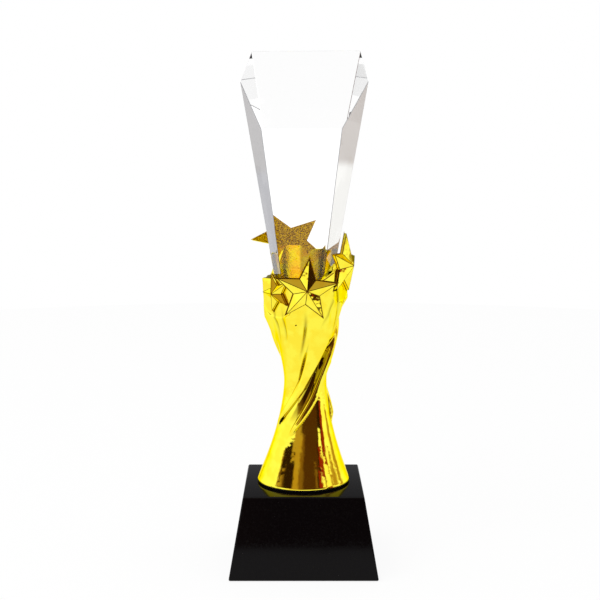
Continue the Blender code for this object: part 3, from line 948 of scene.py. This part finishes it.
    def held_by_stars(self, radius: float, angle: float, height: float, sway: float) -> float:
        """Raises the outside to the stars' tabs and holds it back to their flats.

        Args:
            radius: Radius without the stars.
            angle: Direction from the axis.
            height: Height over the floor.
            sway: How far the axis stands to the right here.

        Returns:
            The radius with tabs and flats.
        """
        flats = []
        for star in STARS:
            aside = angle_between(angle, star.angle)
            if abs(aside) < self.flat_reach:
                above = height - self.bottom - star.rise
                plane = self.seat_radius(star) - self.seat_gap + above * math.tan(star.lean)
                plane -= sway * math.cos(star.angle)
                flats.append((star, plane / math.cos(aside), plane * math.tan(aside), above))
        for star, reach, across, above in flats:
            outside = self.tab_side_fade * max(abs(across) - self.tab_half_width, 0.0)
            below = self.tab_lower_fade * max(-above - star.tab_drop, 0.0)
            radius = soft_max(radius, reach - math.hypot(outside, below), self.tab_fillet)
        for star, reach, across, above in flats:
            beyond = max(math.hypot(across, above) - star.radius - self.flat_margin, 0.0)
            radius = soft_min(radius, reach + self.flat_fade * beyond, self.fillet)
        return radius

    def skin_point(self, lane: float, share: float) -> Spot:
        """A point of the outside.

        Args:
            lane: Direction with the twist taken out.
            share: Share of the height from foot to rim.

        Returns:
            The point, with shade painted along the ribbons' sides and in the folds.
        """
        angle = lane + self.twist_at(share)
        upper = share ** self.rim_follow_power
        rim = self.rim_height(angle)
        height = self.bottom + self.foot_edge + share * (self.height - self.foot_edge - self.rim_edge)
        height += upper * (rim - self.rim_middle)
        relief, line = self.ribbon_relief(lane, share)
        depth, toned = self.fold_depth(lane, share)
        radius = self.plain_radius(share) + relief - depth
        radius += upper * (self.cup_radius(rim) - self.cup_radius(self.rim_middle))
        # The painted shade along the ribbons fades out on the way up to the cup.
        line *= self.ribbon_shade_strength * smooth_step((self.ribbon_shade_end - share) / self.fold_fade)
        radius = self.held_by_stars(radius, angle, height, self.sway_at(share))
        return Spot(radius, angle, height, max(line, toned))

    def cup_point(self, angle: float, share: float) -> Spot:
        """A point of the inside of the cup, from floor to rim.

        Args:
            angle: Direction from the axis.
            share: Share of the height from floor to rim.

        Returns:
            The point, with shade painted all round but at the back left.
        """
        top = self.rim_height(angle) - self.rim_edge / 2.0
        height = self.cup_floor + share * (top - self.cup_floor)
        # Painted shade: the inside of the cup is darkened all round but at the back left, which is left
        # bright.
        toned = self.cup_shade * smooth_step((self.cup_shade_from - angle) / self.cup_shade_fade)
        return Spot(self.cup_radius(height), angle, height, toned)

    def lip_point(self, angle: float, share: float) -> Spot:
        """A point of the rim's rounded outer edge.

        Args:
            angle: Direction from the axis.
            share: Share of the edge from inside to outside.

        Returns:
            The point.
        """
        outside = self.skin_point(angle, 1.0)
        bend = share * math.pi / 2.0
        inward = self.rim_edge * (1.0 - math.sin(bend))
        return Spot(outside.radius - inward, angle, outside.height + self.rim_edge * math.cos(bend))

    def heel_point(self, lane: float, share: float) -> Spot:
        """A point of the steeper lip round the foot, downwards."""
        height = self.bottom + self.foot_edge - share * (self.foot_edge - self.heel_round)
        return Spot(self.foot_radius + share * self.heel_flare, lane + self.twist_at(0.0), height)

    def foot_point(self, lane: float, share: float) -> Spot:
        """A point of the foot's rounded lower edge.

        Args:
            lane: Direction with the twist taken out.
            share: Share of the edge from outside to under.

        Returns:
            The point.
        """
        bend = share * math.pi / 2.0
        radius = self.foot_radius + self.heel_flare - self.heel_round * (1.0 - math.cos(bend))
        height = self.bottom + self.heel_round * (1.0 - math.sin(bend))
        return Spot(radius, lane + self.twist_at(0.0), height)

    def bore_point(self, lane: float, share: float) -> Spot:
        """A point of the insert's bore, from below to its end."""
        return Spot(self.bore_radius, lane + self.twist_at(0.0), self.bottom + share * self.bore_height)

    def rows(self) -> list[tuple[Callable[[float, float], Spot], float]]:
        """The rows from the cup's floor over the rim, down the outside and up the bore.

        Returns:
            For each row, the method that places its points, and its share of that stretch.
        """
        rows = [(self.cup_point, index / self.cup_rows) for index in range(self.cup_rows + 1)]
        rows += [(self.lip_point, index / self.edge_rows) for index in range(self.edge_rows)]
        rows += [(self.skin_point, 1.0 - index / self.skin_rows) for index in range(self.skin_rows + 1)]
        rows += [(self.heel_point, share) for share in self.heel_shares]
        rows += [(self.foot_point, index / self.edge_rows) for index in range(1, self.edge_rows + 1)]
        rows += [(self.bore_point, 0.0), (self.bore_point, 1.0)]
        return rows

    def build(self) -> BMesh:
        """Spins the rows once round and moves each point to its place.

        Returns:
            The mesh, in place. Faces inside the cup have material index 1.
        """
        rows = self.rows()
        mesh_data = bmesh.new()
        points = [mesh_data.verts.new((1.0, 0.0, float(row))) for row in range(len(rows))]
        edges = [mesh_data.edges.new(pair) for pair in zip(points, points[1:])]
        bmesh.ops.spin(
            mesh_data, geom=points + edges, axis=(0, 0, 1), cent=(0, 0, 0),
            angle=math.tau, steps=self.steps, use_merge=True)
        bmesh.ops.holes_fill(mesh_data, edges=mesh_data.edges, sides=0)
        for face in mesh_data.faces:
            face.material_index = int(max(point.co.z for point in face.verts) <= self.cup_rows)
        # Each point keeps its share of painted shade, which the gold reads.
        layer = mesh_data.verts.layers.float.new(PAINTED_SHADE_SHARE)
        skin = []
        for point in mesh_data.verts:
            place, share = rows[round(point.co.z)]
            spot = place(math.atan2(point.co.y, point.co.x), share)
            sway = self.sway_at(share) if place == self.skin_point else 0.0
            point.co = (
                spot.radius * math.cos(spot.angle) + sway, spot.radius * math.sin(spot.angle), spot.height)
            point[layer] = spot.toned
            if place == self.skin_point and 0.0 < share < 1.0:
                skin.append(point)
        bmesh.ops.smooth_vert(
            mesh_data, verts=skin, factor=self.smoothing, use_axis_x=True, use_axis_y=True, use_axis_z=True)
        return mesh_data

    def dress(self, polished: Material, cast: Material) -> None:
        """Builds the body, polished outside and as cast inside the cup."""
        finish_piece("gold_body", self.build(), [polished, cast], ["body_casting"])


class StarFace(IntEnum):
    """Material index of a star's faces."""

    FRONT = 0
    # The back, painted brown for shade.
    BACK = 1
    # The softened edges and the border's sides, painted dark brown for shade.
    EDGE = 2


@dataclass
class StarRing:
    """The raised stars round the cup."""

    body: TrophyBody
    points: int = 5
    notch: float = 0.43
    thickness: float = 1.6 * MM
    seat: float = 0.25 * MM
    edge: float = 0.25 * MM
    edge_segments: int = 2
    # A thin border round each star, whose sides are painted dark brown as a line of shade.
    border: float = 0.5 * MM
    border_height: float = 0.1 * MM
    tip_border: float = 1.4 * MM
    peg_radius: float = 2.0 * MM
    peg_length: float = 1.8 * MM
    peg_drop: float = 0.25

    def frame_of(self, star: StarPlace) -> Matrix:
        """Where a star sits.

        Args:
            star: Its place and size.

        Returns:
            The matrix from its own axes (across, up, outwards) to the trophy's.
        """
        outward = Vector((math.cos(star.angle), math.sin(star.angle), 0.0))
        upright = Vector((0.0, 0.0, 1.0))
        normal = outward * math.cos(star.lean) - upright * math.sin(star.lean)
        up = upright * math.cos(star.lean) + outward * math.sin(star.lean)
        place = outward * self.body.seat_radius(star) + upright * (self.body.bottom + star.rise)
        axes = Matrix((up.cross(normal), up, normal)).transposed().to_4x4()
        return Matrix.Translation(place) @ axes

    @staticmethod
    def raise_face(mesh_data: BMesh, face: BMFace, height: float) -> BMFace:
        """Extrudes a level face upwards.

        Args:
            mesh_data: The star's mesh.
            face: The face to raise.
            height: How far.

        Returns:
            The raised face.
        """
        raised = bmesh.ops.extrude_face_region(mesh_data, geom=[face])["geom"]
        points = [part for part in raised if isinstance(part, BMVert)]
        bmesh.ops.translate(mesh_data, verts=points, vec=(0.0, 0.0, height))
        return next(part for part in raised if isinstance(part, BMFace))

    def build(self, star: StarPlace) -> BMesh:
        """A faceted star with softened edges on a thin border, and a peg on its back.

        Args:
            star: Its place and size.

        Returns:
            The mesh, in place. Its faces' material indices are those of StarFace.
        """
        mesh_data = bmesh.new()
        made = bmesh.ops.create_circle(
            mesh_data, cap_ends=True, segments=2 * self.points, radius=star.radius + self.tip_border)
        for index, point in enumerate(made["verts"]):
            if index % 2:
                point.co *= self.notch
        bmesh.ops.translate(mesh_data, verts=mesh_data.verts, vec=(0.0, 0.0, -self.seat))
        top = self.raise_face(mesh_data, made["verts"][0].link_faces[0], self.border_height)
        bmesh.ops.inset_region(mesh_data, faces=[top], thickness=self.border, use_even_offset=True)
        # The border's sides get painted shade, a dark line round the star.
        for face in {face for edge in top.edges for face in edge.link_faces} - {top}:
            face.material_index = StarFace.EDGE
        top = self.raise_face(mesh_data, top, self.thickness + self.seat - self.border_height)
        walls = list(top.edges)
        middle = bmesh.ops.poke(mesh_data, faces=[top])["verts"][0]
        middle.co = (0.0, 0.0, self.thickness + star.crown)
        bmesh.ops.recalc_face_normals(mesh_data, faces=mesh_data.faces)
        # The softened ridges, valleys and outline get painted shade as dark lines.
        for face in soften(mesh_data, walls + list(middle.link_edges), self.edge, self.edge_segments):
            face.material_index = StarFace.EDGE
        bmesh.ops.rotate(mesh_data, verts=mesh_data.verts, matrix=Matrix.Rotation(star.roll, 3, "Z"))
        # The back is painted brown as shade.
        back = min(mesh_data.faces, key=level_of)
        back.material_index = StarFace.BACK
        peg = bmesh.ops.extrude_discrete_faces(mesh_data, faces=[back])["faces"][0]
        for point in peg.verts:
            point.co.xy = point.co.xy.normalized() * self.peg_radius
            point.co.y -= self.peg_drop * star.radius
        peg = bmesh.ops.extrude_discrete_faces(mesh_data, faces=[peg])["faces"][0]
        bmesh.ops.translate(mesh_data, verts=peg.verts, vec=(0.0, 0.0, self.seat - self.peg_length))
        bmesh.ops.transform(mesh_data, verts=mesh_data.verts, matrix=self.frame_of(star))
        return mesh_data

    def dress(self, finishes: Sequence[Material]) -> None:
        """Builds every star, polished in front, with shade painted brown behind and dark brown along its
        edges.
        """
        for star in STARS:
            finish_piece(star.name, self.build(star), finishes, [star.node], smooth=False)


@dataclass
class BlackBase:
    """The tapered square base: a gloss shell over a core with its ballast, cover, screws and pad."""

    width: float = 100.0 * MM
    top_width: float = 81.0 * MM
    height: float = 54.6 * MM
    bottom: float = 0.8 * MM
    edge: float = 1.2 * MM
    edge_segments: int = 6
    wall: float = 3.0 * MM
    ceiling: float = 4.0 * MM
    rod_hole_radius: float = 4.3 * MM
    hole_steps: int = 32
    screw_count: int = 4

    def half_width(self, height: float) -> float:
        """Half the width of the outside at this height."""
        slope = (self.width - self.top_width) / 2.0 / self.height
        return self.width / 2.0 - slope * (height - self.bottom)

    def open_rod_hole(self, mesh_data: BMesh, face: BMFace) -> list[BMEdge]:
        """Opens a round hole in the middle of a level face.

        Args:
            mesh_data: The shell's mesh.
            face: The face, which is replaced by a surround of the hole.

        Returns:
            The edges of the hole.
        """
        outline = face.edges[:]
        middle = Matrix.Translation((0.0, 0.0, level_of(face)))
        bmesh.ops.delete(mesh_data, geom=[face], context="FACES_ONLY")
        ring = bmesh.ops.create_circle(
            mesh_data, segments=self.hole_steps, radius=self.rod_hole_radius, matrix=middle)["verts"]
        hole = list({edge for point in ring for edge in point.link_edges})
        bmesh.ops.bridge_loops(mesh_data, edges=outline + hole)
        return hole

    def build_shell(self) -> BMesh:
        """The shell with rounded edges, its hollow and the hole for the tie rod.

        Returns:
            The mesh, in place.
        """
        top = self.bottom + self.height
        mesh_data = bmesh.new()
        bmesh.ops.create_cube(mesh_data, size=2.0)
        for point in mesh_data.verts:
            height = top if point.co.z > 0.0 else self.bottom
            half = self.half_width(height)
            point.co = (point.co.x * half, point.co.y * half, height)
        soften(mesh_data, mesh_data.edges[:], self.edge, self.edge_segments)
        underside = min(mesh_data.faces, key=level_of)
        bmesh.ops.inset_region(mesh_data, faces=[underside], thickness=self.wall - self.edge, depth=0.0)
        roof = bmesh.ops.extrude_discrete_faces(mesh_data, faces=[underside])["faces"][0]
        roof_height = top - self.ceiling
        shrink = (self.half_width(roof_height) - self.wall) / (self.half_width(self.bottom) - self.wall)
        for point in roof.verts:
            point.co = (point.co.x * shrink, point.co.y * shrink, roof_height)
        upper_face = max(mesh_data.faces, key=level_of)
        holes = self.open_rod_hole(mesh_data, upper_face) + self.open_rod_hole(mesh_data, roof)
        bmesh.ops.bridge_loops(mesh_data, edges=holes)
        return mesh_data

    def dress(self, nodes: dict[str, Object], plastic: Material) -> None:
        """Builds the shell, and gives the pieces inside it and under the body their finishes.

        Args:
            nodes: The CAD nodes by name.
            plastic: The shell's material.
        """
        finish_piece("gloss_shell", self.build_shell(), [plastic], ["base_shell"])
        screws = [f"cover_screw_{number}" for number in range(1, self.screw_count + 1)]
        shop = (
            (BOARD, ["base_core", "bottom_cover"]),
            (ZINC, ["ballast_plate", "tie_rod", "hex_nut", "lock_washer", "flat_washer", *screws]),
            (BRASS, ["threaded_insert"]),
            (RUBBER, ["base_pad", "foot_gasket", "crystal_pad"]),
        )
        for finish, names in shop:
            material = finish.make()
            for name in names:
                paint_node(nodes[name], material)


class Side(Enum):
    """Colours of the studio's walls and screens."""

    BRIGHT = WHITE
    WARM = "AE8D60"
    RUST = "7A583C"
    BROWN = "4A2C1C"
    DARK = "2A1810"
    RED = "8A2418"
    BACK = "6E6E70"
    LEFT_GREY = "B4ACA6"
    RIGHT_GREY = "CAC8C8"
    PALE = "CCCCD0"
    MILKY = "ECEBE7"
    DUSK = "AE9588"


class Band(NamedTuple):
    """A height of the studio's walls.

    Attributes:
        fade: Rise of a ray at which the band starts, and at which it is full. The lowest band has none.
        stretches: Its colours from left to right, which run into each other, and where each starts and
            ends, in degrees from the camera's side, leftwards below zero.
    """

    fade: Span | None
    stretches: tuple[tuple[Side, float, float], ...]


# What metal mirrors, from the horizon up.
WALLS = (
    Band(None, (
        (Side.BACK, -180.0, -150.0), (Side.BRIGHT, -140.0, 140.0), (Side.BACK, 150.0, 150.0))),
    Band((-0.05, -0.02), (
        (Side.BACK, -180.0, -150.0), (Side.BRIGHT, -140.0, -40.0), (Side.WARM, -30.0, -30.0),
        (Side.RUST, -15.0, -15.0), (Side.BROWN, -5.0, 50.0), (Side.DARK, 58.0, 67.0),
        (Side.RED, 69.0, 76.0), (Side.BRIGHT, 80.0, 98.0), (Side.WARM, 104.0, 112.0),
        (Side.BRIGHT, 118.0, 140.0), (Side.BACK, 150.0, 150.0))),
    Band((0.15, 0.19), (
        (Side.BACK, -180.0, -150.0), (Side.BRIGHT, -140.0, -38.0), (Side.WARM, -33.0, -20.0),
        (Side.BROWN, -8.0, 53.0), (Side.BRIGHT, 55.0, 63.0), (Side.DARK, 65.0, 65.0),
        (Side.RED, 67.0, 75.0), (Side.BRIGHT, 79.0, 83.0), (Side.WARM, 87.0, 95.0),
        (Side.BRIGHT, 102.0, 140.0), (Side.BACK, 150.0, 150.0))),
    Band((0.25, 0.28), (
        (Side.BACK, -180.0, -150.0), (Side.BRIGHT, -140.0, -77.0), (Side.RUST, -72.0, -72.0),
        (Side.DARK, -67.0, -46.0), (Side.WARM, -40.0, -14.0), (Side.RUST, -6.0, -6.0),
        (Side.BROWN, 4.0, 44.0), (Side.DARK, 48.0, 48.0), (Side.RED, 51.0, 60.0),
        (Side.BRIGHT, 63.0, 74.0), (Side.WARM, 80.0, 88.0), (Side.BRIGHT, 96.0, 140.0),
        (Side.BACK, 150.0, 150.0))),
    Band((0.34, 0.38), (
        (Side.BACK, -180.0, -150.0), (Side.BRIGHT, -140.0, -86.0), (Side.WARM, -74.0, -66.0),
        (Side.RUST, -61.0, -61.0), (Side.DARK, -54.0, -34.0), (Side.WARM, -28.0, -18.0),
        (Side.RUST, -11.0, -6.0), (Side.BROWN, 2.0, 30.0), (Side.RUST, 37.0, 37.0),
        (Side.DARK, 42.0, 42.0), (Side.RED, 44.0, 50.0), (Side.BRIGHT, 53.0, 58.0),
        (Side.RUST, 62.0, 62.0), (Side.BRIGHT, 66.0, 70.0), (Side.WARM, 77.0, 94.0),
        (Side.BRIGHT, 108.0, 140.0), (Side.BACK, 150.0, 150.0))),
)

# What glass bends into view: grey screens at the sides, and below them a milky and a paler one.
SCREENS = (
    Band(None, (
        (Side.BRIGHT, -142.0, -142.0), (Side.MILKY, -136.0, -112.0), (Side.BRIGHT, -106.0, -90.0),
        (Side.BROWN, -80.0, -8.0), (Side.BRIGHT, 8.0, 106.0), (Side.PALE, 112.0, 126.0),
        (Side.BRIGHT, 132.0, 132.0))),
    Band((0.236, 0.247), (
        (Side.BRIGHT, -142.0, -142.0), (Side.LEFT_GREY, -136.0, -112.0), (Side.BRIGHT, -106.0, 106.0),
        (Side.RIGHT_GREY, 112.0, 136.0), (Side.BRIGHT, 142.0, 142.0))),
)


@dataclass
class Studio:
    """The pale floor, the soft light and the camera at the photograph's angle."""

    floor_radius: float = 1.5
    floor_steps: int = 96
    floor_colour: str = "F2F2F2"
    floor_roughness: float = 0.8
    floor_glow: float = 0.91
    dusk_front: Span = (0.05, 0.35)
    dusk_rise: Span = (0.55, 0.7)
    top_rise: Span = (0.8, 0.88)
    bright: float = 1.15
    even: float = 0.88
    lamp_size: float = 1.2
    lamp_power: float = 12.0
    lamp_place: tuple[float, float, float] = (-0.9, -0.8, 1.6)
    lamp_target: tuple[float, float, float] = (0.0, 0.0, 0.1)
    lens: float = 63.165
    sensor: float = 36.0
    camera_place: tuple[float, float, float] = (-0.003042, -0.720224, 0.268185)
    camera_turn: tuple[float, float, float] = (math.pi / 2.0 - 0.1182, 0.0, -0.0009)

    def build_floor(self) -> None:
        """A round white floor, which shows white and keeps a soft shadow."""
        material, tree, shader = start_material("white_paper_floor")
        set_inputs(tree, shader, {
            "Base Color": linear(self.floor_colour),
            "Roughness": self.floor_roughness,
            "Specular IOR Level": 0.0,
        })
        rays = add_node(tree, "ShaderNodeLightPath").outputs
        seen = add_math(tree, "MAXIMUM", rays["Is Camera Ray"], rays["Is Glossy Ray"])
        seen = add_math(tree, "MAXIMUM", seen, rays["Is Transmission Ray"])
        share = add_math(tree, "MULTIPLY", seen, self.floor_glow)
        white = add_node(tree, "ShaderNodeEmission", {"Color": linear(WHITE), "Strength": 1.0})
        mixed = add_node(tree, "ShaderNodeMixShader", {
            "Fac": share, 1: shader.outputs["BSDF"], 2: white.outputs["Emission"]})
        tree.links.new(mixed.outputs["Shader"], tree.nodes["Material Output"].inputs["Surface"])
        mesh_data = bmesh.new()
        bmesh.ops.create_circle(
            mesh_data, cap_ends=True, segments=self.floor_steps, radius=self.floor_radius)
        mesh = bpy.data.meshes.new("floor")
        mesh_data.to_mesh(mesh)
        mesh_data.free()
        mesh.materials.append(material)
        floor = bpy.data.objects.new("floor", mesh)
        bpy.context.scene.collection.objects.link(floor)

    @staticmethod
    def lay_bands(
        tree: NodeTree, bands: Sequence[Band], turn: NodeSocket, rise: NodeSocket,
    ) -> NodeSocket:
        """Lays bands over each other.

        Args:
            tree: The world's node tree.
            bands: The bands, the lowest first.
            turn: Socket of a ray's direction, from 0 to 1 once round, with the camera's side half way.
            rise: Socket of a ray's rise.

        Returns:
            The socket of the bands' colour.
        """
        colour = None
        for band in bands:
            over = add_ramp(tree, turn, [
                (0.5 + degrees / 360.0, side.value)
                for side, *ends in band.stretches for degrees in sorted(set(ends))])
            if band.fade:
                share = add_range(tree, rise, band.fade, kind="SMOOTHSTEP")
                over = mix_colours(tree, share, colour, over)
            colour = over
        return colour

    def build_world(self) -> None:
        """White all round for the camera, with the studio's darker walls where metal and glass look."""
        world = bpy.data.worlds.new("studio")
        bpy.context.scene.world = world
        world.use_nodes = True
        tree = world.node_tree
        direction = add_node(tree, "ShaderNodeTexCoord").outputs["Generated"]
        axes = add_node(tree, "ShaderNodeSeparateXYZ", {"Vector": direction}).outputs
        forward = add_math(tree, "MULTIPLY", axes["Y"], -1.0)
        turn = add_range(tree, add_math(tree, "ARCTAN2", axes["X"], forward), (-math.pi, math.pi))
        in_front, raised, at_top = [
            add_range(tree, value, span, kind="SMOOTHSTEP") for value, span in (
                (forward, self.dusk_front), (axes["Z"], self.dusk_rise), (axes["Z"], self.top_rise))]
        dusk_share = add_math(tree, "MULTIPLY", in_front, raised)
        mirrored, through = [
            mix_colours(
                tree, dusk_share, self.lay_bands(tree, bands, turn, axes["Z"]), linear(Side.DUSK.value))
            for bands in (WALLS, SCREENS)]
        rays = add_node(tree, "ShaderNodeLightPath").outputs
        colour = (self.even,) * 3 + (1.0,)
        for ray, seen in (
            ("Is Glossy Ray", mix_colours(tree, at_top, mirrored, linear(WHITE))),
            ("Is Transmission Ray", through),
            ("Is Camera Ray", linear(WHITE)),
        ):
            colour = mix_colours(tree, rays[ray], colour, seen)
        strength = add_range(tree, rays["Is Glossy Ray"], (0.0, 1.0), (1.0, self.bright))
        set_inputs(tree, tree.nodes["Background"], {"Color": colour, "Strength": strength})

    def build_lamp(self) -> None:
        """A large soft lamp from the upper left, for the floor and the plastic."""
        lamp = bpy.data.lights.new("soft_lamp", "AREA")
        lamp.shape = "DISK"
        lamp.size = self.lamp_size
        lamp.energy = self.lamp_power
        placed = bpy.data.objects.new("soft_lamp", lamp)
        placed.location = self.lamp_place
        aim = Vector(self.lamp_target) - placed.location
        placed.rotation_euler = aim.to_track_quat("-Z", "Y").to_euler()
        placed.visible_glossy = False
        placed.visible_transmission = False
        bpy.context.scene.collection.objects.link(placed)

    def build_camera(self) -> None:
        """The camera that took the photograph."""
        data = bpy.data.cameras.new("photo_camera")
        data.sensor_width = self.sensor
        data.lens = self.lens
        camera = bpy.data.objects.new("photo_camera", data)
        camera.location = self.camera_place
        camera.rotation_euler = self.camera_turn
        bpy.context.scene.collection.objects.link(camera)
        bpy.context.scene.camera = camera

    def build(self) -> None:
        """Sets up the whole studio."""
        self.build_floor()
        self.build_world()
        self.build_lamp()
        self.build_camera()
        bpy.context.scene.view_settings.view_transform = "Standard"


def main() -> None:
    """Dresses the trophy and sets up the studio."""
    logging.basicConfig(level=logging.INFO, format="%(message)s")
    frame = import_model()
    nodes = frame["nodes"]
    # The back gold and the last one are painted shade: brown on the stars' backs, dark brown on their
    # edges.
    polished, cast, back, toned = [PlatedGold(side).make() for side in GoldSide]

    BlackBase().dress(nodes, GlossBlackPlastic().make())
    crystal = CrystalColumn()
    body = TrophyBody(crystal)
    body.dress(polished, cast)
    StarRing(body).dress([polished, back, toned])
    paint_node(nodes["crystal_collar"], cast)
    crystal.dress()
    Studio().build()


if __name__ == "__main__":
    main()
